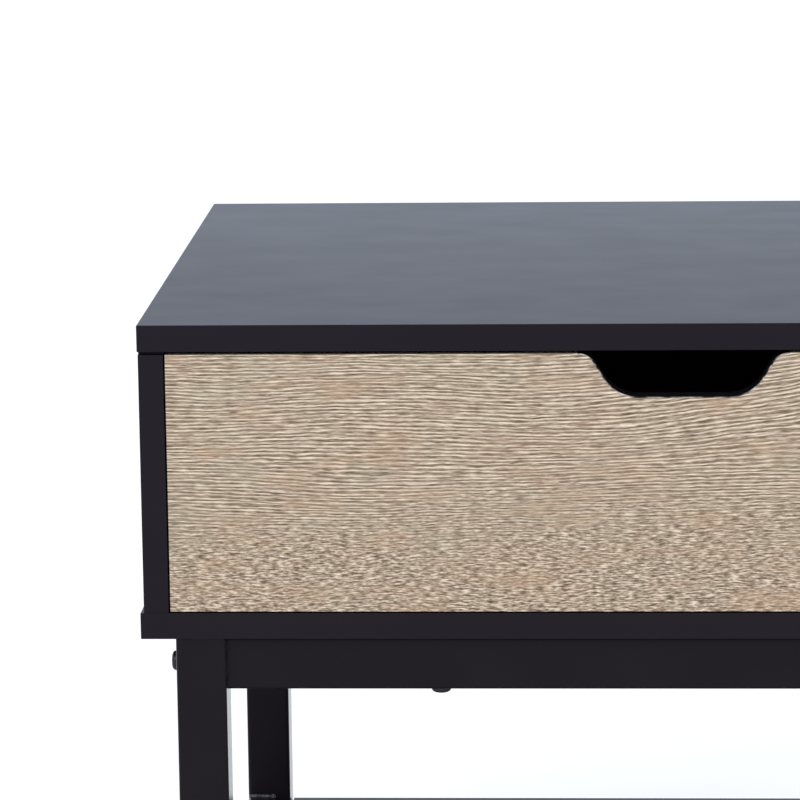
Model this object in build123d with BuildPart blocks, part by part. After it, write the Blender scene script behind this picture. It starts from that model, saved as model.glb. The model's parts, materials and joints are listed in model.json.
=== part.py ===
from build123d import *
import math
import os

# Side table with one drawer: a case of boards on a frame of square steel tube.
# Millimetres. +Z is up, the front faces -Y and +X is to the right.
# The origin is on the floor, under the centre of the table.

# --- Boards of the case and the shelf ---
TABLE_HEIGHT = 550.0
TABLE_DEPTH = 500.0
TOP_WIDTH = 643.0
BOARD = 16.0  # top, bottom and shelf boards
SIDE_BOARD = 15.0  # side and back panels
CASE_HEIGHT = 158.0  # clear height between the top and bottom boards
SIDE_INSET = 0.5  # side panels, in from the ends of the top
BOTTOM_OVERHANG = 2.1  # bottom board, out past the side panels
PANEL_SETBACK = 0.5  # side and back panels, behind the edges of the boards
EDGE_ROUND = 0.6  # arris of every edge-banded board
SHADOW_GAP = 1.8  # dark line under the top
SHADOW_DEPTH = 4.0  # how far the line runs back into a side panel

# --- Drawer ---
DRAWER_FRONT = 15.0
DRAWER_SETBACK = 0.8  # drawer face behind the edges of the boards
DRAWER_SIDE_GAP = 1.0  # drawer front to each side panel
DRAWER_FLOOR_GAP = 0.8  # drawer front above the bottom board
DRAWER_BOARD = 12.0  # sides and back of the drawer box
DRAWER_BOX_DROP = 7.1  # drawer box below the finger cut-out
DRAWER_REAR_GAP = 38.7  # drawer box to the back panel
HARDBOARD = 3.0
GROOVE_LIFT = 10.0  # groove above the lower edge of the drawer box
GROOVE_DEPTH = 5.0
GROOVE_PLAY = 0.2
CUTOUT_TOP_WIDTH = 111.0  # finger cut-out between sharp corners, at the top
CUTOUT_LOW_WIDTH = 79.0  # the same along its level bottom
CUTOUT_DEPTH = 26.0
CUTOUT_TOP_RADIUS = 10.0
CUTOUT_LOW_RADIUS = 24.0
CUTOUT_LAP = 1.0  # edging that runs on along the top edge
EDGING = 0.6  # black band glued round the cut-out

# --- Roller runners ---
RUNNER_SPACE = 12.5  # side panel to drawer side
RUNNER_STEEL = 1.2
RUNNER_LIFT = 4.0  # runners above the bottom board
RUNNER_BACKSET = 2.0  # runners behind the drawer front
RUNNER_END_GAP = 28.0  # runners short of the back of the drawer box
CHANNEL_REACH = 10.2  # flanges of the cabinet runner, out from the side panel
RAIL_FLANGE_START = 2.0  # top flange of the drawer runner, out from the side panel
FLANGE_GAP = 0.8  # top flange over the cabinet channel
WEB_HEIGHT = 34.0  # cabinet runner's plate against the side panel
STOP_HEIGHT = 2.5  # lug that ends the travel of the drawer roller
ROLLER_RADIUS = 8.5
ROLLER_WIDTH = 6.0
ROLLER_LANE = 6.1  # middle of the rollers, out from the side panel
ROLLER_GAP = 0.3  # roller to the steel it runs on
ROLLER_FACE_PLAY = 0.2
ROLLER_END = 12.0  # roller axis from the end of its runner
ROLLER_SPREAD = 76.0  # between the roller axes when the drawer is fully out
ROLLER_ROUND = 0.5
ROLLER_RIM = 1.8
ROLLER_HUB_RADIUS = 4.2
ROLLER_RECESS = 1.0
AXLE_RADIUS = 2.5
AXLE_FIT = 0.05
AXLE_HEAD_RADIUS = 4.0
AXLE_HEAD = 0.8
RUNNER_SCREW_FRONT = 30.0  # first screw from a runner's front end
RUNNER_SCREW_REAR = 50.0  # last screw from its rear end
RUNNER_SCREW_LIFT = 28.0

# --- Steel frame ---
LEG = 30.0
TUBE_WALL = 1.5
TUBE_RADIUS = 2.5
LEG_INSET = 19.0  # legs in from the ends of the top
LEG_SETBACK = 1.0  # legs behind the edges of the boards
RAIL_DEPTH = 20.0
UPPER_RAIL = 32.5
LOWER_RAIL = 20.0
SIDE_RAIL = 30.0
SHELF_TOP = 116.0
SHELF_LIP = 8.0  # side rails above the shelf
SHELF_GAP = 1.0
FOOT_PAD = 4.0
FOOT_STUB = 14.0
FOOT_ROUND = 1.2
PLUG_DEPTH = 10.0
PLUG_FIT = 0.1

# --- Fasteners ---
BOLT_RADIUS = 3.0
BOLT_CLEARANCE = 0.3
THREAD_FIT = 0.05
BOLT_HEAD_RADIUS = 6.0
BOLT_HEAD = 3.6
BOLT_HEAD_ROUND = 2.4
SOCKET_RADIUS = 2.3
SOCKET_DEPTH = 2.2
FRAME_BOLT_DROP = 17.0  # upper bolts below the bottom board
NUT_LENGTH = 18.0
NUT_GRIP = 15.0  # thread of a frame bolt held by its nut
RAIL_SCREW_SPACING = 289.0
RAIL_SCREW_GRIP = 10.0  # thread held by a board
INSERT_RADIUS = 5.0
INSERT_LENGTH = 12.0
DOWEL_RADIUS = 4.0
DOWEL_LENGTH = 30.0
DOWEL_IN_BOARD = 11.0
DOWEL_FIT = 0.05
DOWEL_EDGE = 38.0  # dowels from the front and rear edges of the boards
CAM_EDGE = 70.0  # cam locks from the same edges
CAM_RADIUS = 7.4
CAM_HEIGHT = 12.0
CAM_REACH = 24.0  # cam centre from the joint
DRAWER_CAM_RADIUS = 5.9
DRAWER_CAM_HEIGHT = 9.5
DRAWER_CAM_LOW = 30.0  # lower cam lock above the lower edge of the drawer box
CAM_BOLT_RADIUS = 3.0
CAM_NECK_RADIUS = 2.0
CAM_THREAD = 10.0
CAM_PLAY = 0.2
CAM_SLOT = 1.2  # cross recess in the face of a cam lock
CONFIRMAT_HEAD_RADIUS = 5.0
CONFIRMAT_HEAD = 4.0
CONFIRMAT_SHANK_RADIUS = 3.5
CONFIRMAT_THREAD_RADIUS = 2.5
CONFIRMAT_LENGTH = 50.0
SCREW_RADIUS = 1.75
SCREW_HEAD_RADIUS = 3.5
SCREW_HEAD = 1.8
SCREW_FIT = 0.1
PANEL_SCREW_LENGTH = 12.0
EDGE_SCREW_LENGTH = 9.0
CORNER_SCREW_LENGTH = 40.0
CORNER_SCREW_LOW = 40.0  # lower corner screw above the lower edge of the drawer box
CORNER_TOP = 23.0  # upper cam locks and corner screws below its upper edge
BACK_DOWEL_EDGE = 40.0  # dowels of the back panel from its lower and upper edges
BACK_JOINT_X = 220.0
BOTTOM_SCREW_X = 200.0

# --- Levels and lines worked out from the sizes above ---
case_top = TABLE_HEIGHT - BOARD
case_floor = case_top - CASE_HEIGHT
frame_top = case_floor - BOARD
front = -TABLE_DEPTH / 2
rear = TABLE_DEPTH / 2
side_outer = TOP_WIDTH / 2 - SIDE_INSET
side_middle = side_outer - SIDE_BOARD / 2
side_inner = side_outer - SIDE_BOARD
back_rear = rear - PANEL_SETBACK
back_middle = back_rear - SIDE_BOARD / 2
back_front = back_rear - SIDE_BOARD
dowel_y = rear - DOWEL_EDGE
cam_y = rear - CAM_EDGE
back_dowel_z = (case_floor + BACK_DOWEL_EDGE, case_top - BACK_DOWEL_EDGE)

drawer_face = front + DRAWER_SETBACK
drawer_start = drawer_face + DRAWER_FRONT
drawer_end = back_front - DRAWER_REAR_GAP
drawer_front_top = case_top - SHADOW_GAP
drawer_front_low = case_floor + DRAWER_FLOOR_GAP
drawer_outer = side_inner - RUNNER_SPACE
drawer_middle = drawer_outer - DRAWER_BOARD / 2
drawer_inner = drawer_outer - DRAWER_BOARD
runner_low = case_floor + RUNNER_LIFT
drawer_low = runner_low + RUNNER_STEEL
drawer_high = drawer_front_top - CUTOUT_DEPTH - DRAWER_BOX_DROP
drawer_cam_z = (drawer_low + DRAWER_CAM_LOW, drawer_high - CORNER_TOP)
corner_screw_z = (drawer_low + CORNER_SCREW_LOW, drawer_high - CORNER_TOP)
groove_low = drawer_low + GROOVE_LIFT
drawer_back_low = groove_low + HARDBOARD
drawer_back_middle = drawer_end - DRAWER_BOARD / 2

runner_start = drawer_start + RUNNER_BACKSET
runner_end = drawer_end - RUNNER_END_GAP
channel_high = runner_low + 2 * (RUNNER_STEEL + ROLLER_GAP + ROLLER_RADIUS)
flange_low = channel_high + FLANGE_GAP
cabinet_roller_y = runner_start + ROLLER_END
cabinet_roller_z = flange_low - ROLLER_GAP - ROLLER_RADIUS
drawer_roller_y = runner_end - ROLLER_END
drawer_roller_z = runner_low + RUNNER_STEEL + ROLLER_GAP + ROLLER_RADIUS
lane_start = ROLLER_LANE - ROLLER_WIDTH / 2
lane_end = ROLLER_LANE + ROLLER_WIDTH / 2
stop_contact = math.sqrt(ROLLER_RADIUS**2 - (ROLLER_RADIUS + ROLLER_GAP - STOP_HEIGHT) ** 2)
stop_y = cabinet_roller_y + ROLLER_SPREAD - stop_contact - ROLLER_GAP
channel_bed = runner_low + RUNNER_STEEL
runner_screw_z = runner_low + RUNNER_SCREW_LIFT
first_screw_y = runner_start + RUNNER_SCREW_FRONT
last_screw_y = runner_end - RUNNER_SCREW_REAR
runner_screw_y = (first_screw_y, (first_screw_y + last_screw_y) / 2, last_screw_y)

leg_outer = TOP_WIDTH / 2 - LEG_INSET
leg_x = leg_outer - LEG / 2
leg_inner = leg_outer - LEG
leg_y = TABLE_DEPTH / 2 - LEG_SETBACK - LEG / 2
leg_near = leg_y - LEG / 2
leg_bore = LEG - 2 * TUBE_WALL
bore_radius = TUBE_RADIUS - TUBE_WALL
shelf_low = SHELF_TOP - BOARD
side_rail_x = leg_outer - RAIL_DEPTH / 2
rail_tops = {"upper": frame_top, "lower": shelf_low}
rail_heights = {"upper": UPPER_RAIL, "lower": LOWER_RAIL}
bolt_levels = {"upper": frame_top - FRAME_BOLT_DROP, "lower": shelf_low - LOWER_RAIL / 2}
side_rail_tops = {"upper": frame_top, "lower": SHELF_TOP + SHELF_LIP}

SIDES = {"left": -1, "right": 1}
ENDS = {"front": -1, "rear": 1}
UP = (0, 0, 1)
DOWN = (0, 0, -1)
TO_FRONT = (0, -1, 0)
TO_REAR = (0, 1, 0)
SUNK = (Align.CENTER, Align.CENTER, Align.MAX)
PROUD = (Align.CENTER, Align.CENTER, Align.MIN)


# --- Tools used by the pieces below ---
def save(piece, name):
    """Labels a finished piece and writes it to its own file."""
    piece.part.label = name
    export_step(piece.part, f"parts/{name}.step")


def block(x, y, z, mode=Mode.ADD):
    """A box that spans a pair of values on each axis."""
    spans = (x, y, z)
    middle = tuple((low + high) / 2 for low, high in spans)
    with Locations(middle):
        Box(*(abs(high - low) for low, high in spans), mode=mode)


def inset(side, distance):
    """An X that lies this far out from a side panel, towards the drawer."""
    return side * (side_inner - distance)


def place(x, y, z, out):
    """A spot on a surface whose outward direction is out."""
    return Plane(origin=(x, y, z), z_dir=out).location


def cam_place(x, y, z, out, toward):
    """A spot for a cam lock, turned so that its slot opens toward the joint."""
    across = Vector(*toward).cross(Vector(*out))
    return Plane(origin=(x, y, z), x_dir=across, z_dir=out).location


def drill(places, radius, depth):
    """Round holes, each going in against the outward direction of its place."""
    with Locations(*places):
        Cylinder(radius, depth, align=SUNK, mode=Mode.SUBTRACT)


def spindle(side, y, z, lane, radius, mode=Mode.ADD):
    """A round bar along X between two distances from a side panel."""
    with Locations(place(inset(side, lane[0]), y, z, (side, 0, 0))):
        Cylinder(radius, lane[1] - lane[0], align=SUNK, mode=mode)


def pan_bolt(length):
    """A bolt with a rounded pan head and a hexagon socket, bearing on its origin."""
    with BuildPart() as bolt:
        Cylinder(BOLT_HEAD_RADIUS, BOLT_HEAD, align=PROUD)
        fillet(bolt.edges().group_by(Axis.Z)[-1], BOLT_HEAD_ROUND)
        with BuildSketch(Plane.XY.offset(BOLT_HEAD)):
            RegularPolygon(SOCKET_RADIUS, 6)
        extrude(amount=-SOCKET_DEPTH, mode=Mode.SUBTRACT)
        Cylinder(BOLT_RADIUS, length, align=SUNK)
        chamfer(bolt.edges().group_by(Axis.Z)[0], BOLT_RADIUS / 5)
    return bolt.part


def pan_screw(length):
    """A small wood screw with a pan head and a tapered point, bearing on its origin."""
    with BuildPart() as screw:
        Cylinder(SCREW_HEAD_RADIUS, SCREW_HEAD, align=PROUD)
        fillet(screw.edges().group_by(Axis.Z)[-1], SCREW_HEAD / 2)
        Cylinder(SCREW_RADIUS, length, align=SUNK)
        chamfer(screw.edges().group_by(Axis.Z)[0], SCREW_RADIUS / 2)
    return screw.part


def confirmat():
    """A long board screw whose head lies sunk below its origin."""
    with BuildPart() as screw:
        Cylinder(CONFIRMAT_HEAD_RADIUS, CONFIRMAT_HEAD, align=SUNK)
        with BuildSketch(Plane.XY):
            RegularPolygon(SOCKET_RADIUS, 6)
        extrude(amount=-CONFIRMAT_HEAD / 2, mode=Mode.SUBTRACT)
        with Locations((0, 0, -CONFIRMAT_HEAD)):
            Cylinder(CONFIRMAT_SHANK_RADIUS, BOARD - CONFIRMAT_HEAD, align=SUNK)
        with Locations((0, 0, -BOARD)):
            Cylinder(CONFIRMAT_THREAD_RADIUS, CONFIRMAT_LENGTH - BOARD, align=SUNK)
        chamfer(screw.edges().group_by(Axis.Z)[0], CONFIRMAT_THREAD_RADIUS / 2)
    return screw.part


def dowel():
    """A beech dowel with chamfered ends, its origin at the joint of two boards."""
    with BuildPart() as peg:
        with Locations((0, 0, DOWEL_IN_BOARD)):
            Cylinder(DOWEL_RADIUS, DOWEL_LENGTH, align=SUNK)
        chamfer(peg.edges().filter_by(GeomType.CIRCLE), DOWEL_RADIUS / 5)
    return peg.part


def cam_bolt(reach, cam_radius):
    """A cam bolt: thread above its origin, and neck and head down in the cam lock."""
    neck_start = reach - cam_radius - CAM_PLAY
    head_start = reach - 2 * CAM_NECK_RADIUS
    with BuildPart() as bolt:
        Cylinder(CAM_BOLT_RADIUS, CAM_THREAD, align=PROUD)
        Cylinder(CAM_BOLT_RADIUS, neck_start, align=SUNK)
        Cylinder(CAM_NECK_RADIUS, head_start, align=SUNK)
        with Locations((0, 0, -head_start)):
            Cylinder(CAM_BOLT_RADIUS, CAM_BOLT_RADIUS, align=SUNK)
    return bolt.part


def cam_lock(radius, height, axis_depth):
    """A cam disc sunk below its origin, open along +Y for the neck of the cam bolt."""
    head_room = CAM_BOLT_RADIUS + CAM_PLAY
    neck_room = CAM_NECK_RADIUS + CAM_PLAY
    head_end = 2 * CAM_NECK_RADIUS + CAM_PLAY
    depths = (-axis_depth - head_room, -axis_depth + head_room)
    arm = radius / 2
    half_slot = CAM_SLOT / 2
    with BuildPart() as lock:
        Cylinder(radius, height, align=SUNK)
        block((-head_room, head_room), (-CAM_PLAY, head_end), depths, Mode.SUBTRACT)
        block((-neck_room, neck_room), (0, 2 * radius), depths, Mode.SUBTRACT)
        block((-arm, arm), (-half_slot, half_slot), (-CAM_SLOT, 0), Mode.SUBTRACT)
        block((-half_slot, half_slot), (-arm, arm), (-CAM_SLOT, 0), Mode.SUBTRACT)
    return lock.part


def cutout_air(grow):
    """The finger cut-out and the air above it, grown into the wood by grow.

    The origin is the middle of the drawer front's top edge.
    """
    lean = math.atan2(CUTOUT_DEPTH, (CUTOUT_TOP_WIDTH - CUTOUT_LOW_WIDTH) / 2)
    bend = math.tan(lean / 2)
    top = CUTOUT_TOP_WIDTH / 2 + grow * bend
    low = CUTOUT_LOW_WIDTH / 2 + grow * bend
    end = CUTOUT_TOP_WIDTH / 2 + CUTOUT_TOP_RADIUS * bend + CUTOUT_LAP
    floor = -CUTOUT_DEPTH - grow
    contour = ((-end, -grow), (-top, -grow), (-low, floor), (low, floor), (top, -grow), (end, -grow))
    top_radius = CUTOUT_TOP_RADIUS - grow
    low_radius = CUTOUT_LOW_RADIUS + grow
    with BuildSketch() as air:
        with BuildLine():
            FilletPolyline(*contour, radius=[top_radius, low_radius, low_radius, top_radius])
            Polyline((end, -grow), (end, CUTOUT_DEPTH), (-end, CUTOUT_DEPTH), (-end, -grow))
        make_face()
    return air.sketch


os.makedirs("parts", exist_ok=True)

# --- Where the joints of the case are ---
top_joints = [(side * side_middle, end * dowel_y) for side in (-1, 1) for end in (-1, 1)]
cam_joints = [(side * side_middle, end * cam_y) for side in (-1, 1) for end in (-1, 1)]
back_joints = [(side * BACK_JOINT_X, back_middle) for side in (-1, 1)]
screw_joints = cam_joints + back_joints
insert_joints = [
    (side * RAIL_SCREW_SPACING / 2, end * leg_y) for side in (-1, 1) for end in (-1, 1)
]
dowel_bore = DOWEL_RADIUS + DOWEL_FIT
cam_thread_bore = CAM_BOLT_RADIUS + THREAD_FIT
cam_shank_bore = CAM_BOLT_RADIUS + CAM_PLAY
confirmat_bore = CONFIRMAT_THREAD_RADIUS + THREAD_FIT
confirmat_depth = CONFIRMAT_LENGTH - BOARD
insert_bore = INSERT_RADIUS + THREAD_FIT
screw_bore = SCREW_RADIUS + SCREW_FIT
dowel_rest = DOWEL_LENGTH - DOWEL_IN_BOARD

# --- Top board ---
with BuildPart() as top_panel:
    block((-TOP_WIDTH / 2, TOP_WIDTH / 2), (front, rear), (case_top, TABLE_HEIGHT))
    fillet(top_panel.edges(), EDGE_ROUND)
    drill([place(x, y, case_top, DOWN) for x, y in cam_joints], cam_thread_bore, CAM_THREAD)
    drill([place(x, y, case_top, DOWN) for x, y in top_joints + back_joints], dowel_bore, DOWEL_IN_BOARD)
save(top_panel, "top_panel")

# --- Bottom board ---
bottom_half = side_outer + BOTTOM_OVERHANG
with BuildPart() as bottom_panel:
    block((-bottom_half, bottom_half), (front, rear), (frame_top, case_floor))
    fillet(bottom_panel.edges(), EDGE_ROUND)
    drill([place(x, y, case_floor, UP) for x, y in top_joints], dowel_bore, DOWEL_IN_BOARD)
    screw_places = [place(x, y, frame_top, DOWN) for x, y in screw_joints]
    drill(screw_places, CONFIRMAT_SHANK_RADIUS + THREAD_FIT, BOARD)
    drill(screw_places, CONFIRMAT_HEAD_RADIUS + THREAD_FIT, CONFIRMAT_HEAD)
    drill([place(x, y, frame_top, DOWN) for x, y in insert_joints], insert_bore, INSERT_LENGTH)
save(bottom_panel, "bottom_panel")

# --- Side panels ---
for name, side in SIDES.items():
    inward = (-side, 0, 0)
    with BuildPart() as side_panel:
        block(
            (side * side_inner, side * side_outer),
            (front + PANEL_SETBACK, rear - PANEL_SETBACK),
            (case_floor, case_top),
        )
        fillet(side_panel.edges().filter_by(Axis.Z), EDGE_ROUND)
        block(
            (side * side_inner, side * side_outer),
            (front, front + PANEL_SETBACK + SHADOW_DEPTH),
            (case_top - SHADOW_GAP, case_top),
            Mode.SUBTRACT,
        )
        for end in ENDS.values():
            drill([place(side * side_middle, end * cam_y, case_top, UP)], cam_shank_bore, CAM_REACH)
            drill(
                [place(side * side_inner, end * cam_y, case_top - CAM_REACH, inward)],
                CAM_RADIUS + CAM_PLAY / 2,
                CAM_HEIGHT,
            )
            drill([place(side * side_middle, end * dowel_y, case_top, UP)], dowel_bore, dowel_rest)
            drill([place(side * side_middle, end * dowel_y, case_floor, DOWN)], dowel_bore, dowel_rest)
            drill(
                [place(side * side_middle, end * cam_y, case_floor, DOWN)],
                confirmat_bore,
                confirmat_depth,
            )
        drill(
            [place(side * side_inner, back_middle, z, inward) for z in back_dowel_z],
            dowel_bore,
            DOWEL_IN_BOARD,
        )
        drill(
            [place(side * side_inner, y, runner_screw_z, inward) for y in runner_screw_y],
            screw_bore,
            PANEL_SCREW_LENGTH - RUNNER_STEEL,
        )
    save(side_panel, f"{name}_side_panel")

# --- Back panel ---
with BuildPart() as back_panel:
    block((-side_inner, side_inner), (back_front, back_rear), (case_floor, case_top))
    for side in SIDES.values():
        drill(
            [place(side * side_inner, back_middle, z, (side, 0, 0)) for z in back_dowel_z],
            dowel_bore,
            dowel_rest,
        )
    drill([place(x, y, case_top, UP) for x, y in back_joints], dowel_bore, dowel_rest)
    drill([place(x, y, case_floor, DOWN) for x, y in back_joints], confirmat_bore, confirmat_depth)
save(back_panel, "back_panel")

# --- Fittings that hold the case together ---
peg = dowel()
peg_places = [place(x, y, case_top, UP) for x, y in top_joints + back_joints]
peg_places += [place(x, y, case_floor, DOWN) for x, y in top_joints]
peg_places += [
    place(side * side_inner, back_middle, z, (side, 0, 0))
    for side in SIDES.values()
    for z in back_dowel_z
]
with BuildPart() as case_dowels:
    with Locations(*peg_places):
        add(peg)
save(case_dowels, "case_dowels")

case_cam_bolt = cam_bolt(CAM_REACH, CAM_RADIUS)
with BuildPart() as case_cam_bolts:
    with Locations(*(place(x, y, case_top, UP) for x, y in cam_joints)):
        add(case_cam_bolt)
save(case_cam_bolts, "case_cam_bolts")

case_cam_lock = cam_lock(CAM_RADIUS, CAM_HEIGHT, SIDE_BOARD / 2)
with BuildPart() as case_cam_locks:
    for side in SIDES.values():
        for end in ENDS.values():
            spot = (side * side_inner, end * cam_y, case_top - CAM_REACH)
            with Locations(cam_place(*spot, (-side, 0, 0), UP)):
                add(case_cam_lock)
save(case_cam_locks, "case_cam_locks")

case_screw = confirmat()
with BuildPart() as case_screws:
    with Locations(*(place(x, y, frame_top, DOWN) for x, y in screw_joints)):
        add(case_screw)
save(case_screws, "case_screws")

# --- Runners: a channel on each side panel and a rail under each drawer side ---
run = (runner_start, runner_end)
lidded_run = (cabinet_roller_y + ROLLER_RADIUS + RUNNER_BACKSET, runner_end)
web_lane = (RUNNER_SPACE - RUNNER_STEEL, RUNNER_SPACE)
axle_hole = AXLE_RADIUS + AXLE_FIT
for name, side in SIDES.items():
    plate = (inset(side, 0), inset(side, RUNNER_STEEL))
    channel = (inset(side, 0), inset(side, CHANNEL_REACH))
    with BuildPart() as cabinet_runner:
        block(plate, run, (runner_low, runner_low + WEB_HEIGHT))
        block(channel, run, (runner_low, channel_bed))
        block(channel, lidded_run, (channel_high - RUNNER_STEEL, channel_high))
        block(channel, (stop_y - RUNNER_STEEL, stop_y), (channel_bed, channel_bed + STOP_HEIGHT))
        spindle(side, cabinet_roller_y, cabinet_roller_z, (0, RUNNER_STEEL), axle_hole, Mode.SUBTRACT)
        for y in runner_screw_y:
            spindle(side, y, runner_screw_z, (0, RUNNER_STEEL), screw_bore, Mode.SUBTRACT)
    save(cabinet_runner, f"{name}_cabinet_runner")

    web = (inset(side, web_lane[0]), inset(side, web_lane[1]))
    ledge = (inset(side, web_lane[0]), inset(side, RUNNER_SPACE + DRAWER_BOARD))
    flange = (inset(side, RAIL_FLANGE_START), inset(side, web_lane[1]))
    with BuildPart() as drawer_runner:
        block(web, run, (runner_low, flange_low + RUNNER_STEEL))
        block(ledge, run, (runner_low, drawer_low))
        block(flange, run, (flange_low, flange_low + RUNNER_STEEL))
        spindle(side, drawer_roller_y, drawer_roller_z, web_lane, axle_hole, Mode.SUBTRACT)
        drill(
            [place(side * drawer_middle, y, runner_low, DOWN) for y in runner_screw_y],
            screw_bore,
            RUNNER_STEEL,
        )
    save(drawer_runner, f"{name}_drawer_runner")

# --- Rollers ---
roller_spots = {
    "cabinet": (cabinet_roller_y, cabinet_roller_z),
    "drawer": (drawer_roller_y, drawer_roller_z),
}
for owner, spot in roller_spots.items():
    for name, side in SIDES.items():
        near_recess = (lane_start, lane_start + ROLLER_RECESS)
        far_recess = (lane_end - ROLLER_RECESS, lane_end)
        with BuildPart() as roller:
            spindle(side, *spot, (lane_start, lane_end), ROLLER_RADIUS)
            fillet(roller.edges().filter_by(GeomType.CIRCLE), ROLLER_ROUND)
            spindle(side, *spot, near_recess, ROLLER_RADIUS - ROLLER_RIM, Mode.SUBTRACT)
            spindle(side, *spot, far_recess, ROLLER_RADIUS - ROLLER_RIM, Mode.SUBTRACT)
            spindle(side, *spot, (lane_start, lane_end), ROLLER_HUB_RADIUS)
            spindle(side, *spot, (lane_start, lane_end), axle_hole, Mode.SUBTRACT)
        save(roller, f"{name}_{owner}_roller")

# --- Axles, riveted into the runners: a shank, a collar and a head ---
near_face = lane_start - ROLLER_FACE_PLAY
far_face = lane_end + ROLLER_FACE_PLAY
axle_lanes = {
    "cabinet": ((0, far_face), (RUNNER_STEEL, near_face), (far_face, far_face + AXLE_HEAD)),
    "drawer": ((near_face, RUNNER_SPACE), (far_face, web_lane[0]), (near_face - AXLE_HEAD, near_face)),
}
for owner, (shank, collar, head) in axle_lanes.items():
    with BuildPart() as axles:
        for side in SIDES.values():
            spindle(side, *roller_spots[owner], shank, AXLE_RADIUS)
            spindle(side, *roller_spots[owner], collar, AXLE_HEAD_RADIUS)
            spindle(side, *roller_spots[owner], head, AXLE_HEAD_RADIUS)
    save(axles, f"{owner}_roller_axles")

# --- Screws of the runners ---
panel_screw = pan_screw(PANEL_SCREW_LENGTH)
with BuildPart() as cabinet_runner_screws:
    for side in SIDES.values():
        face = inset(side, RUNNER_STEEL)
        with Locations(*(place(face, y, runner_screw_z, (-side, 0, 0)) for y in runner_screw_y)):
            add(panel_screw)
save(cabinet_runner_screws, "cabinet_runner_screws")

edge_screw = pan_screw(EDGE_SCREW_LENGTH)
with BuildPart() as drawer_runner_screws:
    for side in SIDES.values():
        with Locations(*(place(side * drawer_middle, y, runner_low, DOWN) for y in runner_screw_y)):
            add(edge_screw)
save(drawer_runner_screws, "drawer_runner_screws")

# --- Drawer front and the edging of its finger cut-out ---
face_plane = Plane(origin=(0, drawer_face, drawer_front_top), x_dir=(1, 0, 0), z_dir=TO_FRONT)
front_width = 2 * (side_inner - DRAWER_SIDE_GAP)
front_height = drawer_front_top - drawer_front_low
groove = (groove_low, groove_low + HARDBOARD + GROOVE_PLAY)
groove_half = drawer_inner + GROOVE_DEPTH
wood_cutout = cutout_air(EDGING)
finger_cutout = cutout_air(0)
drawer_cam_spots = [
    (side * drawer_middle, drawer_start, z) for side in SIDES.values() for z in drawer_cam_z
]
with BuildPart() as drawer_front:
    with BuildSketch(face_plane):
        Rectangle(front_width, front_height, align=(Align.CENTER, Align.MAX))
        add(wood_cutout, mode=Mode.SUBTRACT)
    extrude(amount=-DRAWER_FRONT)
    block((-groove_half, groove_half), (drawer_start - GROOVE_DEPTH, drawer_start), groove, Mode.SUBTRACT)
    drill([place(*spot, TO_REAR) for spot in drawer_cam_spots], cam_thread_bore, CAM_THREAD)
save(drawer_front, "drawer_front")

with BuildPart() as cutout_edging:
    with BuildSketch(face_plane):
        Rectangle(front_width, front_height, align=(Align.CENTER, Align.MAX))
        add(wood_cutout, mode=Mode.INTERSECT)
        add(finger_cutout, mode=Mode.SUBTRACT)
    extrude(amount=-DRAWER_FRONT)
save(cutout_edging, "cutout_edging")

# --- Drawer box ---
for name, side in SIDES.items():
    inner = side * drawer_inner
    outer = side * drawer_outer
    with BuildPart() as drawer_side:
        block((inner, outer), (drawer_start, drawer_end), (drawer_low, drawer_high))
        block((inner, side * groove_half), (drawer_start, drawer_end), groove, Mode.SUBTRACT)
        for z in drawer_cam_z:
            drill([place(side * drawer_middle, drawer_start, z, TO_FRONT)], cam_shank_bore, CAM_REACH)
            drill(
                [place(inner, drawer_start + CAM_REACH, z, (-side, 0, 0))],
                DRAWER_CAM_RADIUS + CAM_PLAY / 2,
                DRAWER_CAM_HEIGHT,
            )
        drill(
            [place(outer, drawer_back_middle, z, (side, 0, 0)) for z in corner_screw_z],
            screw_bore,
            DRAWER_BOARD,
        )
        drill(
            [place(side * drawer_middle, y, drawer_low, DOWN) for y in runner_screw_y],
            screw_bore,
            EDGE_SCREW_LENGTH - RUNNER_STEEL,
        )
    save(drawer_side, f"{name}_drawer_side")

bottom_screw_x = (-BOTTOM_SCREW_X, 0, BOTTOM_SCREW_X)
with BuildPart() as drawer_back:
    block(
        (-drawer_inner, drawer_inner),
        (drawer_end - DRAWER_BOARD, drawer_end),
        (drawer_back_low, drawer_high),
    )
    for side in SIDES.values():
        drill(
            [place(side * drawer_inner, drawer_back_middle, z, (side, 0, 0)) for z in corner_screw_z],
            screw_bore,
            CORNER_SCREW_LENGTH - DRAWER_BOARD,
        )
    drill(
        [place(x, drawer_back_middle, drawer_back_low, DOWN) for x in bottom_screw_x],
        screw_bore,
        PANEL_SCREW_LENGTH - HARDBOARD,
    )
save(drawer_back, "drawer_back")

bottom_sheet_half = groove_half - GROOVE_PLAY
bottom_sheet_start = drawer_start - GROOVE_DEPTH + GROOVE_PLAY
with BuildPart() as drawer_bottom:
    block(
        (-bottom_sheet_half, bottom_sheet_half),
        (bottom_sheet_start, drawer_end),
        (groove_low, drawer_back_low),
    )
    drill(
        [place(x, drawer_back_middle, drawer_back_low, UP) for x in bottom_screw_x],
        screw_bore,
        HARDBOARD,
    )
save(drawer_bottom, "drawer_bottom")

# --- Fittings that hold the drawer together ---
drawer_cam_bolt = cam_bolt(CAM_REACH, DRAWER_CAM_RADIUS)
with BuildPart() as drawer_cam_bolts:
    with Locations(*(place(*spot, TO_FRONT) for spot in drawer_cam_spots)):
        add(drawer_cam_bolt)
save(drawer_cam_bolts, "drawer_cam_bolts")

drawer_cam_lock = cam_lock(DRAWER_CAM_RADIUS, DRAWER_CAM_HEIGHT, DRAWER_BOARD / 2)
with BuildPart() as drawer_cam_locks:
    for side in SIDES.values():
        for z in drawer_cam_z:
            spot = (side * drawer_inner, drawer_start + CAM_REACH, z)
            with Locations(cam_place(*spot, (-side, 0, 0), TO_FRONT)):
                add(drawer_cam_lock)
save(drawer_cam_locks, "drawer_cam_locks")

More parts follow.
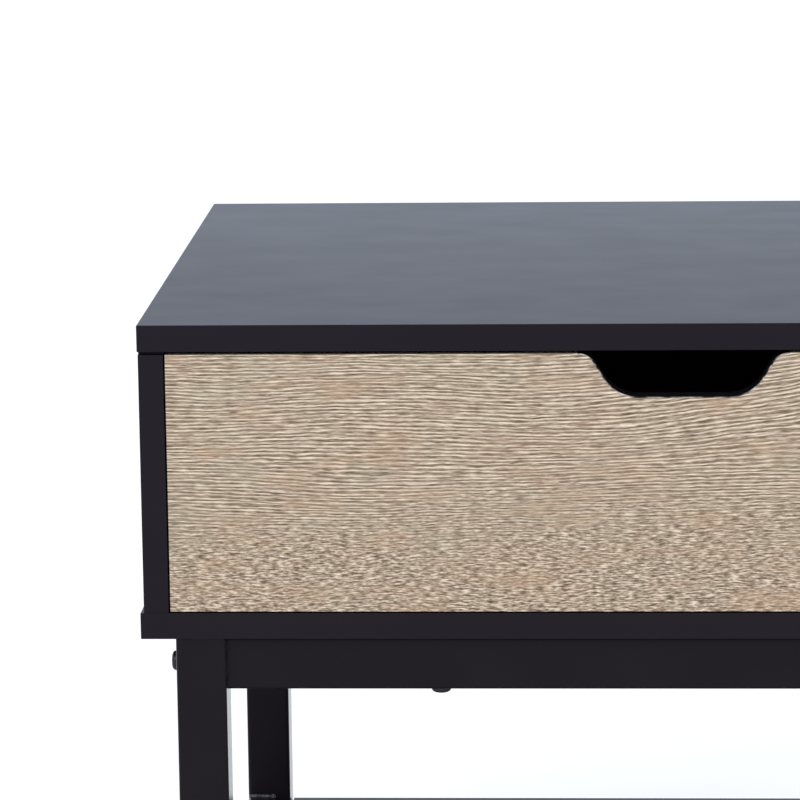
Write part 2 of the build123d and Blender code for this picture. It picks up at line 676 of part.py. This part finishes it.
corner_screw = pan_screw(CORNER_SCREW_LENGTH)
with BuildPart() as drawer_corner_screws:
    for side in SIDES.values():
        spots = [(side * drawer_outer, drawer_back_middle, z) for z in corner_screw_z]
        with Locations(*(place(*spot, (side, 0, 0)) for spot in spots)):
            add(corner_screw)
save(drawer_corner_screws, "drawer_corner_screws")

with BuildPart() as drawer_bottom_screws:
    with Locations(*(place(x, drawer_back_middle, groove_low, DOWN) for x in bottom_screw_x)):
        add(panel_screw)
save(drawer_bottom_screws, "drawer_bottom_screws")

# --- Legs, with a plug in the top end and a foot in the bottom end ---
for end_name, end in ENDS.items():
    for side_name, side in SIDES.items():
        corner = f"{end_name}_{side_name}"
        spot = (side * leg_x, end * leg_y)
        with BuildPart() as leg:
            with BuildSketch(Plane.XY.offset(FOOT_PAD)):
                with Locations(spot):
                    RectangleRounded(LEG, LEG, TUBE_RADIUS)
                    RectangleRounded(leg_bore, leg_bore, bore_radius, mode=Mode.SUBTRACT)
            extrude(amount=frame_top - FOOT_PAD)
            drill(
                [place(side * leg_outer, end * leg_y, z, (side, 0, 0)) for z in bolt_levels.values()],
                BOLT_RADIUS + BOLT_CLEARANCE,
                LEG,
            )
        save(leg, f"{corner}_leg")

        plug_size = leg_bore - 2 * PLUG_FIT
        with BuildPart() as plug:
            with BuildSketch(Plane.XY.offset(frame_top)):
                with Locations(spot):
                    RectangleRounded(plug_size, plug_size, bore_radius)
            extrude(amount=-PLUG_DEPTH)
        save(plug, f"{corner}_leg_plug")

        with BuildPart() as foot:
            with BuildSketch(Plane.XY):
                with Locations(spot):
                    RectangleRounded(LEG, LEG, TUBE_RADIUS)
            extrude(amount=FOOT_PAD)
            fillet(foot.edges().group_by(Axis.Z)[0], FOOT_ROUND)
            with BuildSketch(Plane.XY.offset(FOOT_PAD)):
                with Locations(spot):
                    RectangleRounded(plug_size, plug_size, bore_radius)
            extrude(amount=FOOT_STUB)
        save(foot, f"{corner}_foot")

# --- Cross rails between the legs, and the nuts in their ends ---
for level, rail_top in rail_tops.items():
    height = rail_heights[level]
    middle = rail_top - height / 2
    bore_size = (RAIL_DEPTH - 2 * TUBE_WALL, height - 2 * TUBE_WALL)
    nut_size = [width - 2 * PLUG_FIT for width in bore_size]
    for end_name, end in ENDS.items():
        left_end = Plane(origin=(-leg_inner, end * leg_y, middle), x_dir=(0, 1, 0), z_dir=(1, 0, 0))
        with BuildPart() as cross_rail:
            with BuildSketch(left_end):
                RectangleRounded(RAIL_DEPTH, height, TUBE_RADIUS)
                RectangleRounded(*bore_size, bore_radius, mode=Mode.SUBTRACT)
            extrude(amount=2 * leg_inner)
            drill(
                [place(x, y, rail_top, UP) for x, y in insert_joints if y * end > 0],
                BOLT_RADIUS + BOLT_CLEARANCE,
                height,
            )
        save(cross_rail, f"{end_name}_{level}_rail")

    with BuildPart() as rail_nuts:
        for side in SIDES.values():
            for end in ENDS.values():
                mouth = Plane(
                    origin=(side * leg_inner, end * leg_y, middle), x_dir=(0, 1, 0), z_dir=(side, 0, 0)
                )
                with BuildSketch(mouth):
                    RectangleRounded(*nut_size, bore_radius)
                extrude(amount=-NUT_LENGTH)
                drill(
                    [place(side * leg_inner, end * leg_y, bolt_levels[level], (side, 0, 0))],
                    BOLT_RADIUS + THREAD_FIT,
                    NUT_LENGTH,
                )
    save(rail_nuts, f"{level}_rail_nuts")

# --- Side rails, welded between the front and rear legs ---
for level, rail_top in side_rail_tops.items():
    for name, side in SIDES.items():
        front_weld = Plane(
            origin=(side * side_rail_x, -leg_near, rail_top - SIDE_RAIL / 2),
            x_dir=(1, 0, 0),
            z_dir=TO_FRONT,
        )
        with BuildPart() as side_rail:
            with BuildSketch(front_weld):
                RectangleRounded(RAIL_DEPTH, SIDE_RAIL, TUBE_RADIUS)
                RectangleRounded(
                    RAIL_DEPTH - 2 * TUBE_WALL, SIDE_RAIL - 2 * TUBE_WALL, bore_radius, mode=Mode.SUBTRACT
                )
            extrude(amount=-2 * leg_near)
        save(side_rail, f"{name}_{level}_side_rail")

# --- Shelf, notched round the legs and lying on the lower cross rails ---
shelf_x = leg_outer - RAIL_DEPTH - SHELF_GAP
shelf_y = leg_y + RAIL_DEPTH / 2
notch_x = leg_inner - SHELF_GAP
notch_y = leg_near - SHELF_GAP
with BuildPart() as shelf:
    block((-shelf_x, shelf_x), (-shelf_y, shelf_y), (shelf_low, SHELF_TOP))
    for side in SIDES.values():
        for end in ENDS.values():
            block(
                (side * notch_x, side * TOP_WIDTH),
                (end * notch_y, end * TABLE_DEPTH),
                (shelf_low, SHELF_TOP),
                Mode.SUBTRACT,
            )
    fillet(shelf.edges().filter_by(Axis.X).sort_by(Axis.Y)[-2:], EDGE_ROUND)
    fillet(shelf.edges().filter_by(Axis.X).sort_by(Axis.Y)[:2], EDGE_ROUND)
    drill([place(x, y, shelf_low, DOWN) for x, y in insert_joints], insert_bore, INSERT_LENGTH)
save(shelf, "shelf")

# --- Bolts through the legs, and screws from the cross rails up into the boards ---
frame_bolt = pan_bolt(LEG + NUT_GRIP)
with BuildPart() as frame_bolts:
    for side in SIDES.values():
        for end in ENDS.values():
            for z in bolt_levels.values():
                with Locations(place(side * leg_outer, end * leg_y, z, (side, 0, 0))):
                    add(frame_bolt)
save(frame_bolts, "frame_bolts")

board_of_level = {"upper": "case", "lower": "shelf"}
for level, board in board_of_level.items():
    height = rail_heights[level]
    board_screw = pan_bolt(height + RAIL_SCREW_GRIP)
    with BuildPart() as board_screws:
        with Locations(*(place(x, y, rail_tops[level] - height, DOWN) for x, y in insert_joints)):
            add(board_screw)
    save(board_screws, f"{board}_rail_screws")

with BuildPart() as board_inserts:
    for rail_top in rail_tops.values():
        with Locations(*(place(x, y, rail_top, DOWN) for x, y in insert_joints)):
            Cylinder(INSERT_RADIUS, INSERT_LENGTH, align=SUNK)
        drill(
            [place(x, y, rail_top, DOWN) for x, y in insert_joints],
            BOLT_RADIUS + THREAD_FIT,
            INSERT_LENGTH,
        )
save(board_inserts, "board_inserts")
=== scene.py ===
import json
import math
import random

import bmesh
import bpy
from mathutils import Matrix, Vector


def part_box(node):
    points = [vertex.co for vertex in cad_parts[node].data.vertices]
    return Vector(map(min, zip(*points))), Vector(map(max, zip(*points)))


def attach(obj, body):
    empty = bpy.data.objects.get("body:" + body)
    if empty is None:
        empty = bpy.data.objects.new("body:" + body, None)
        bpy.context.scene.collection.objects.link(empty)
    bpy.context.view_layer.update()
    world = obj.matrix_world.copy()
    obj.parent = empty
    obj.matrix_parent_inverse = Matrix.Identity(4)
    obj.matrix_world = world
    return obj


# Side table with one drawer, dressed for rendering. Metres, +Z up, the front faces -Y.

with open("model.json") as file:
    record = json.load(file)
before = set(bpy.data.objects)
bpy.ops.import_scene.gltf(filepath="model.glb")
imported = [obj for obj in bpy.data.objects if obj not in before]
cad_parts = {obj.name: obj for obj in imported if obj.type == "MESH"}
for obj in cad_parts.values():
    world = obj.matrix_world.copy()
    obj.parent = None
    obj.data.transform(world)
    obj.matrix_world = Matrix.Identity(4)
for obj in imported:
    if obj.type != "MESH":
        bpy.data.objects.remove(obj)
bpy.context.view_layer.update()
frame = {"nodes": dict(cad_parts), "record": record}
nodes = frame["nodes"]

CUTOUT_RIM = -0.2489  # the front rim of the cut-out's band, painted with a pale highlight, lies in front of this depth
RING_RATE = 2990.0  # radians of the oak's ring wave per metre: a pitch of 2.1 mm
RING_CLIMB = -0.055  # how far the rings shift toward the upper right corner
BEAD_STEP = 0.0013
BEAD_RADIUS = (0.0017, 0.0022)
BEAD_WOBBLE = 0.0003
BEAD_INSET = 0.002  # between the end of a bead and the side of its rail
FLOOR_REACH = 6
FLOOR_LEVEL = -0.0005
SKY_COLOUR = (0.865, 0.97, 1.14, 1)
SKY_STRENGTH = 1.2
CAMERA_AT = (-0.0479, -2.624, 0.9648)
LENS = 185.2
YAW, PITCH, ROLL = (math.radians(angle) for angle in (-2.859, 10.948, -0.720))


# --- Building blocks for node materials ---
class Shader:
    """A material whose nodes are added one call at a time, left to right."""

    def __init__(self, name, **sockets):
        self.material = bpy.data.materials.new(name)
        self.material.use_nodes = True
        self.tree = self.material.node_tree
        self.surface = self.tree.nodes["Principled BSDF"]
        for socket, value in sockets.items():
            self.surface.inputs[socket.replace("_", " ")].default_value = value
        self.place = self.tree.nodes.new("ShaderNodeTexCoord").outputs["Object"]

    def node(self, kind, inputs=(), **settings):
        made = self.tree.nodes.new("ShaderNode" + kind)
        for setting, value in settings.items():
            setattr(made, setting, value)
        for socket, value in dict(inputs).items():
            if isinstance(value, bpy.types.NodeSocket):
                self.tree.links.new(value, made.inputs[socket])
            else:
                made.inputs[socket].default_value = value
        return made

    def scaled(self, size, at=None, shift=(0, 0, 0)):
        """Coordinates stretched so that one noise cell is size metres on each axis."""
        rate = tuple(1 / s for s in size)
        start = self.place if at is None else at
        return self.node("Mapping", {"Vector": start, "Scale": rate, "Location": shift}).outputs[0]

    def noise(self, size, detail=2.0, rough=0.5, at=None, shift=(0, 0, 0)):
        vector = self.scaled(size, at, shift)
        inputs = {"Vector": vector, "Scale": 1.0, "Detail": detail, "Roughness": rough}
        return self.node("TexNoise", inputs).outputs["Fac"]

    def ramp(self, value, *stops, smooth=False):
        """A smooth change from one grey or colour to the next: stops are (position, value)."""
        made = self.node("ValToRGB", {"Fac": value})
        band = made.color_ramp
        band.interpolation = "EASE" if smooth else "LINEAR"
        while len(band.elements) < len(stops):
            band.elements.new(0.5)
        for element, (position, colour) in zip(band.elements, stops):
            element.position = position
            element.color = (*colour, 1) if isinstance(colour, tuple) else (colour,) * 3 + (1,)
        return made.outputs["Color"]

    def math(self, operation, a, b=0.0, c=0.0):
        return self.node("Math", {0: a, 1: b, 2: c}, operation=operation).outputs[0]

    def mix(self, factor, a, b, how="MIX"):
        """Colour a turned into colour b by the factor."""
        made = self.node("Mix", {}, data_type="RGBA", blend_type=how)
        for index, value in ((0, factor), (6, a), (7, b)):
            if isinstance(value, bpy.types.NodeSocket):
                self.tree.links.new(value, made.inputs[index])
            else:
                made.inputs[index].default_value = value if index == 0 else (*value, 1)
        return made.outputs[2]

    def colour(self, value):
        self.tree.links.new(value, self.surface.inputs["Base Color"])

    def rough(self, value):
        self.tree.links.new(value, self.surface.inputs["Roughness"])

    def bump(self, height, depth, strength=1.0):
        """Bump with a depth in metres."""
        inputs = {"Height": height, "Distance": depth, "Strength": strength}
        made = self.node("Bump", inputs)
        self.tree.links.new(made.outputs[0], self.surface.inputs["Normal"])


def black_laminate():
    """Melamine-faced board: satin black with a very fine pearl and faint handling marks."""
    s = Shader("black_laminate", IOR=1.20)
    pearl = s.noise((0.0006, 0.0006, 0.0006), detail=2)
    cloud = s.noise((0.11, 0.07, 0.05), detail=3)
    s.colour(s.mix(cloud, (0.0062, 0.0036, 0.0068), (0.0088, 0.0058, 0.0092)))
    marks = s.ramp(s.noise((0.05, 0.03, 0.03), detail=3), (0.30, 0.0), (0.75, 0.03))
    depth = s.node("SeparateXYZ", {"Vector": s.place}).outputs[1]
    handled = s.ramp(s.math("MULTIPLY_ADD", depth, 2.0, 0.5), (0.0, 0.362), (1.0, 0.326), smooth=True)
    s.rough(s.math("ADD", handled, marks))
    s.bump(pearl, 0.000008, 0.5)
    return s.material


def black_edging():
    """ABS band round the finger cut-out: glossy black; its trimmed front rim carries a pale highlight painted in
    patches.
    """
    s = Shader("black_edging", IOR=1.3)
    drag = s.noise((0.02, 0.0008, 0.0006), detail=2)
    black = s.mix(drag, (0.006, 0.005, 0.006), (0.011, 0.009, 0.012))
    depth = s.node("SeparateXYZ", {"Vector": s.place}).outputs[1]
    # painted highlight: a pale tone in patches on the front rim, standing in for light caught by its rounded edge
    rim = s.math("LESS_THAN", depth, CUTOUT_RIM)
    painted_rim_highlight = s.ramp(s.noise((0.016, 0.05, 0.006), detail=3, rough=0.6), (0.42, 0.0), (0.60, 1.0))
    s.colour(s.mix(s.math("MULTIPLY", rim, painted_rim_highlight), black, (0.42, 0.38, 0.33)))
    s.rough(s.ramp(drag, (0.3, 0.30), (0.7, 0.42)))
    s.bump(drag, 0.00002, 0.4)
    return s.material


def powder_coat():
    """Powder-coated steel tube: black, fine orange-peel texture, bright where seen edge-on."""
    s = Shader("black_powder_coat")
    peel = s.noise((0.0016, 0.0016, 0.0016), detail=3, rough=0.55)
    broad = s.noise((0.05, 0.05, 0.05), detail=2)
    s.colour(s.mix(broad, (0.0062, 0.0042, 0.0064), (0.0092, 0.0070, 0.0092)))
    glance = s.node("LayerWeight", {"Blend": 0.5}).outputs["Facing"]
    s.tree.links.new(s.ramp(glance, (0.60, 0.34), (0.92, 1.0)), s.surface.inputs["Specular IOR Level"])
    edge_on = s.ramp(glance, (0.66, 0.0), (0.93, 1.0))
    s.tree.links.new(s.math("MULTIPLY_ADD", edge_on, 1.6, 1.21), s.surface.inputs["IOR"])
    texture = s.ramp(peel, (0.3, 0.30), (0.7, 0.40))
    gloss = s.ramp(edge_on, (0.0, 1.0), (1.0, 0.45))
    s.rough(s.math("MULTIPLY", texture, gloss))
    s.bump(peel, 0.00003, 0.5)
    return s.material


def weld_coat():
    """The same coat on the weld beads, with a painted sheen: pale grey speckles on their ripples."""
    s = Shader("weld_coat", IOR=1.4)
    ripples = s.noise((0.0011, 0.0011, 0.0011), detail=3, rough=0.6)
    # painted sheen: pale grey speckles on the ripples stand in for the beads' highlights
    painted_sheen_speckles = s.ramp(ripples, (0.46, 0.0), (0.60, 1.0))
    s.colour(s.mix(painted_sheen_speckles, (0.008, 0.007, 0.008), (0.16, 0.15, 0.155)))
    s.rough(s.ramp(ripples, (0.3, 0.55), (0.7, 0.35)))
    s.bump(ripples, 0.00015, 0.8)
    return s.material


def oak():
    """Washed oak decor: close cream rings along the board, fine ticks below, pores, warm patches.

    The height includes the depth, so the grain runs on over the edges of the board.
    """
    s = Shader("oak_decor", IOR=1.33)
    x, y, z = s.node("SeparateXYZ", {"Vector": s.place}).outputs

    # The rings climb toward the upper right corner and wander a little everywhere. Near the right
    # end the climb falls as fast as the height rises, which leaves a smeared patch: a known fault.
    far = s.ramp(s.math("MULTIPLY_ADD", x, 2.2, 0.24), (0.0, 0.0), (1.0, 1.0), smooth=True)
    high = s.ramp(s.math("MULTIPLY_ADD", z, 14.0, -6.33), (0.0, 0.0), (1.0, 1.0), smooth=True)
    climb = s.math("MULTIPLY", s.math("MULTIPLY", far, high), RING_CLIMB)
    wander = s.math("MULTIPLY_ADD", s.noise((0.17, 1.0, 0.060), detail=1), 0.014, -0.007)
    ripple = s.math("MULTIPLY_ADD", s.noise((0.018, 1.0, 0.007), detail=2), 0.0013, -0.00065)
    lift = s.math("ADD", s.math("ADD", z, y), climb)
    bent_z = s.math("ADD", lift, s.math("ADD", wander, ripple))
    grain = s.node("CombineXYZ", {"X": x, "Y": y, "Z": bent_z}).outputs[0]

    # rings: a wave pushed about by noise, with narrow cream crests
    push = s.noise((0.045, 0.05, 0.0034), detail=2, rough=0.55, at=grain)
    phase = s.math("MULTIPLY_ADD", bent_z, RING_RATE, s.math("MULTIPLY", push, 9.0))
    crest = s.math("MULTIPLY_ADD", s.math("SINE", phase), 0.5, 0.5)
    rings = s.ramp(crest, (0.0, 0.05), (0.45, 0.30), (0.80, 0.80), (1.0, 1.0))
    faint = s.noise((0.030, 0.05, 0.0045), detail=1, at=grain, shift=(2.2, 0, 6.1))
    fade = s.ramp(faint, (0.30, 0.45), (0.62, 1.0))
    ticks = s.noise((0.0048, 0.05, 0.00095), detail=2, rough=0.6, at=grain, shift=(9.2, 0, 1.4))
    hairs = s.noise((0.009, 0.05, 0.0008), detail=2, rough=0.65, at=grain, shift=(3.1, 0, 7.3))

    # short ticks take over from the rings in the lower part of the board
    zones = s.noise((0.12, 1.0, 0.030), detail=2, shift=(1.7, 0, 2.2))
    low = s.math("MULTIPLY_ADD", z, -22.0, 9.9)
    zone = s.ramp(s.math("ADD", low, s.math("MULTIPLY_ADD", zones, 2.4, -1.2)), (0.0, 0.06), (1.0, 1.0))
    ring_part = s.math("MULTIPLY", s.math("SUBTRACT", rings, 0.42), s.math("MULTIPLY", fade, 0.42))
    tick_part = s.math("MULTIPLY_ADD", ticks, 1.5, -0.75)
    hair_part = s.math("MULTIPLY_ADD", hairs, 1.0, -0.5)
    part = s.node("Mix", {0: zone, 2: ring_part, 3: tick_part}, data_type="FLOAT").outputs[0]
    tone = s.math("ADD", s.math("ADD", part, hair_part), 0.5)

    base = s.ramp(
        tone,
        (0.20, (0.072, 0.047, 0.027)),
        (0.36, (0.172, 0.120, 0.078)),
        (0.50, (0.298, 0.221, 0.152)),
        (0.62, (0.436, 0.346, 0.250)),
        (0.78, (0.640, 0.540, 0.400)),
    )
    warm = s.ramp(s.noise((0.05, 1.0, 0.014), detail=2, at=grain, shift=(4, 0, 8)), (0.50, 0.0), (0.72, 0.7))
    base = s.mix(warm, base, s.mix(0.5, base, (0.36, 0.22, 0.13)))
    cool = s.ramp(s.noise((0.04, 1.0, 0.018), detail=2, at=grain, shift=(12, 0, 3)), (0.54, 0.0), (0.74, 0.6))
    base = s.mix(cool, base, s.mix(0.4, base, (0.27, 0.27, 0.18)))
    pores = s.noise((0.012, 0.05, 0.00095), detail=1, at=grain, shift=(5.7, 0, 4.1))
    dark = s.ramp(pores, (0.64, 0.0), (0.73, 0.8))
    base = s.mix(dark, base, (0.070, 0.050, 0.034))
    s.colour(base)
    s.rough(s.ramp(tone, (0.30, 0.60), (0.70, 0.50)))
    s.bump(s.math("SUBTRACT", tone, s.math("MULTIPLY", dark, 0.5)), 0.00006, 0.4)
    return s.material


def plastic():
    """Black moulded polyethylene with a fine spark-eroded texture."""
    s = Shader("black_plastic", IOR=1.5)
    grit = s.noise((0.0007, 0.0007, 0.0007), detail=3, rough=0.6)
    s.colour(s.mix(grit, (0.010, 0.010, 0.010), (0.020, 0.020, 0.021)))
    s.rough(s.ramp(grit, (0.3, 0.42), (0.7, 0.58)))
    s.bump(grit, 0.00005, 0.6)
    return s.material


def hardboard():
    """Black-faced hardboard: a thin satin lacquer over pressed fibres."""
    s = Shader("hardboard", IOR=1.3)
    fibres = s.noise((0.004, 0.0015, 0.0015), detail=4, rough=0.7)
    flecks = s.noise((0.0012, 0.0012, 0.0012), detail=2, shift=(3, 1, 2))
    base = s.mix(fibres, (0.0085, 0.0075, 0.0070), (0.0145, 0.0125, 0.0115))
    s.colour(s.mix(s.ramp(flecks, (0.62, 0.0), (0.72, 0.5)), base, (0.022, 0.015, 0.011)))
    s.rough(s.ramp(fibres, (0.3, 0.40), (0.7, 0.58)))
    s.bump(fibres, 0.00004, 0.5)
    return s.material


def metal(name, low, high, low_rough, high_rough, grain, **sockets):
    """A plated or rolled metal: two tones, streaked roughness and a fine bump."""
    s = Shader(name, Metallic=1.0, **sockets)
    wear = s.noise(grain, detail=3, rough=0.6)
    spots = s.noise((0.004, 0.004, 0.004), detail=3, shift=(2, 5, 1))
    s.colour(s.mix(spots, low, high))
    s.rough(s.ramp(wear, (0.3, low_rough), (0.7, high_rough)))
    s.bump(wear, 0.00002, 0.4)
    return s.material


def epoxy():
    """Black epoxy on rolled sheet steel: satin, with scuffs along the run of the drawer."""
    s = Shader("runner_steel", IOR=1.35)
    scuffs = s.noise((0.0015, 0.04, 0.0015), detail=3, rough=0.6)
    s.colour(s.mix(scuffs, (0.009, 0.009, 0.010), (0.018, 0.018, 0.019)))
    s.rough(s.ramp(scuffs, (0.3, 0.28), (0.7, 0.42)))
    s.bump(scuffs, 0.00002, 0.4)
    return s.material


def roller_plastic():
    """White nylon of the runner rollers, slightly translucent looking and scuffed."""
    s = Shader("roller_plastic", IOR=1.5)
    scuff = s.noise((0.002, 0.002, 0.002), detail=4, rough=0.65)
    s.colour(s.mix(scuff, (0.60, 0.59, 0.55), (0.80, 0.79, 0.76)))
    s.rough(s.ramp(scuff, (0.3, 0.32), (0.7, 0.5)))
    s.bump(scuff, 0.00003, 0.4)
    return s.material


def beech():
    """Beech of the dowels, with small ray flecks."""
    s = Shader("dowel_beech", IOR=1.45)
    grain = s.noise((0.0012, 0.0012, 0.009), detail=3)
    s.colour(s.mix(grain, (0.42, 0.27, 0.15), (0.62, 0.43, 0.26)))
    s.rough(s.ramp(grain, (0.3, 0.55), (0.7, 0.7)))
    s.bump(grain, 0.00008, 0.6)
    return s.material


LOOKS = {
    "black_laminate": black_laminate(),
    "oak_decor": oak(),
    "black_edging": black_edging(),
    "black_powder_coat": powder_coat(),
    "black_plastic": plastic(),
    "hardboard": hardboard(),
    "runner_steel": epoxy(),
    "roller_plastic": roller_plastic(),
    "black_screw_steel": metal(
        "black_screw_steel", (0.020, 0.020, 0.022), (0.045, 0.045, 0.048), 0.32, 0.5, (0.001, 0.001, 0.001)
    ),
    "zinc_steel": metal(
        "zinc_steel", (0.60, 0.60, 0.58), (0.74, 0.73, 0.70), 0.25, 0.4, (0.002, 0.002, 0.002)
    ),
    "zinc_alloy": metal(
        "zinc_alloy", (0.50, 0.50, 0.50), (0.66, 0.66, 0.66), 0.35, 0.5, (0.0015, 0.0015, 0.0015)
    ),
    "insert_brass": metal(
        "insert_brass", (0.66, 0.48, 0.20), (0.80, 0.60, 0.28), 0.25, 0.4, (0.0015, 0.0015, 0.0015)
    ),
    "dowel_beech": beech(),
}

WELD_COAT = weld_coat()

for subpart in frame["record"]["subparts"]:
    surfaces = nodes[subpart["node"]].data.materials
    surfaces.clear()
    surfaces.append(LOOKS[subpart["material_slot"]])


# --- Weld beads where the side rails meet the legs ---
def weld(name, start, end):
    """A run of small overlapping ripples, slightly uneven."""
    dice = random.Random(name)
    bead = bmesh.new()
    line = Vector(end) - Vector(start)
    steps = max(4, round(line.length / BEAD_STEP))
    for step in range(steps + 1):
        wobble = Vector([dice.uniform(-BEAD_WOBBLE, BEAD_WOBBLE) for _ in range(3)])
        centre = Matrix.Translation(Vector(start) + line * step / steps + wobble)
        radius = dice.uniform(*BEAD_RADIUS)
        bmesh.ops.create_icosphere(bead, subdivisions=2, radius=radius, matrix=centre)
    mesh = bpy.data.meshes.new(name)
    bead.to_mesh(mesh)
    bead.free()
    mesh.shade_smooth()
    mesh.materials.append(WELD_COAT)
    made = bpy.data.objects.new(name, mesh)
    bpy.context.scene.collection.objects.link(made)
    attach(made, "table")


for side_name in ("left", "right"):
    for level in ("upper", "lower"):
        low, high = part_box(f"{side_name}_{level}_side_rail")
        edges = {"under": low[2]} if level == "upper" else {"under": low[2], "over": high[2]}
        for end_name, y in (("front", low[1]), ("rear", high[1])):
            for edge_name, z in edges.items():
                name = f"weld_{side_name}_{level}_{end_name}_{edge_name}"
                weld(name, (low[0] + BEAD_INSET, y, z), (high[0] - BEAD_INSET, y, z))

# --- Floor, light and camera ---
floor_mesh = bpy.data.meshes.new("floor")
floor_corners = [(x * FLOOR_REACH, y * FLOOR_REACH, FLOOR_LEVEL) for x, y in ((-1, -1), (1, -1), (1, 1), (-1, 1))]
floor_mesh.from_pydata(floor_corners, [], [(0, 1, 2, 3)])
floor = bpy.data.objects.new("floor", floor_mesh)
bpy.context.scene.collection.objects.link(floor)
pale = Shader("pale_floor")
dust = pale.noise((0.4, 0.4, 0.4), detail=3)
pale.colour(pale.mix(dust, (0.975, 0.90, 0.80), (0.995, 0.92, 0.82)))
pale.rough(pale.ramp(dust, (0.3, 0.7), (0.7, 0.8)))
floor_mesh.materials.append(pale.material)

world = bpy.data.worlds.new("studio")
bpy.context.scene.world = world
world.use_nodes = True
sky = world.node_tree.nodes["Background"]
sky.inputs["Color"].default_value = SKY_COLOUR
sky.inputs["Strength"].default_value = SKY_STRENGTH


def softbox(name, at, towards, size, power, colour):
    """A rectangular area lamp at one point, turned towards another."""
    lamp = bpy.data.lights.new(name, "AREA")
    lamp.shape = "RECTANGLE"
    lamp.size, lamp.size_y = size
    lamp.energy = power
    lamp.color = colour
    made = bpy.data.objects.new(name, lamp)
    made.location = at
    made.rotation_euler = (Vector(towards) - Vector(at)).to_track_quat("-Z", "Y").to_euler()
    bpy.context.scene.collection.objects.link(made)


softbox("key", (-1.6, -2.6, 2.4), (0, -0.2, 0.4), (1.6, 1.2), 30, (1.0, 0.95, 0.90))
softbox("fill", (1.8, -2.4, 1.6), (0, -0.2, 0.4), (1.6, 1.2), 16, (1.0, 0.96, 0.92))

camera_data = bpy.data.cameras.new("camera")
camera_data.lens = LENS
camera_data.sensor_width = 36
camera_data.clip_end = 50
camera = bpy.data.objects.new("camera", camera_data)
forward = Vector((math.sin(YAW) * math.cos(PITCH), math.cos(YAW) * math.cos(PITCH), -math.sin(PITCH)))
level_right = Vector((math.cos(YAW), -math.sin(YAW), 0))
level_up = level_right.cross(forward)
right = math.cos(ROLL) * level_right + math.sin(ROLL) * level_up
up = -math.sin(ROLL) * level_right + math.cos(ROLL) * level_up
turn = Matrix((right, up, -forward)).transposed().to_4x4()
camera.matrix_world = Matrix.Translation(CAMERA_AT) @ turn
bpy.context.scene.collection.objects.link(camera)
bpy.context.scene.camera = camera
bpy.context.scene.view_settings.view_transform = "Standard"
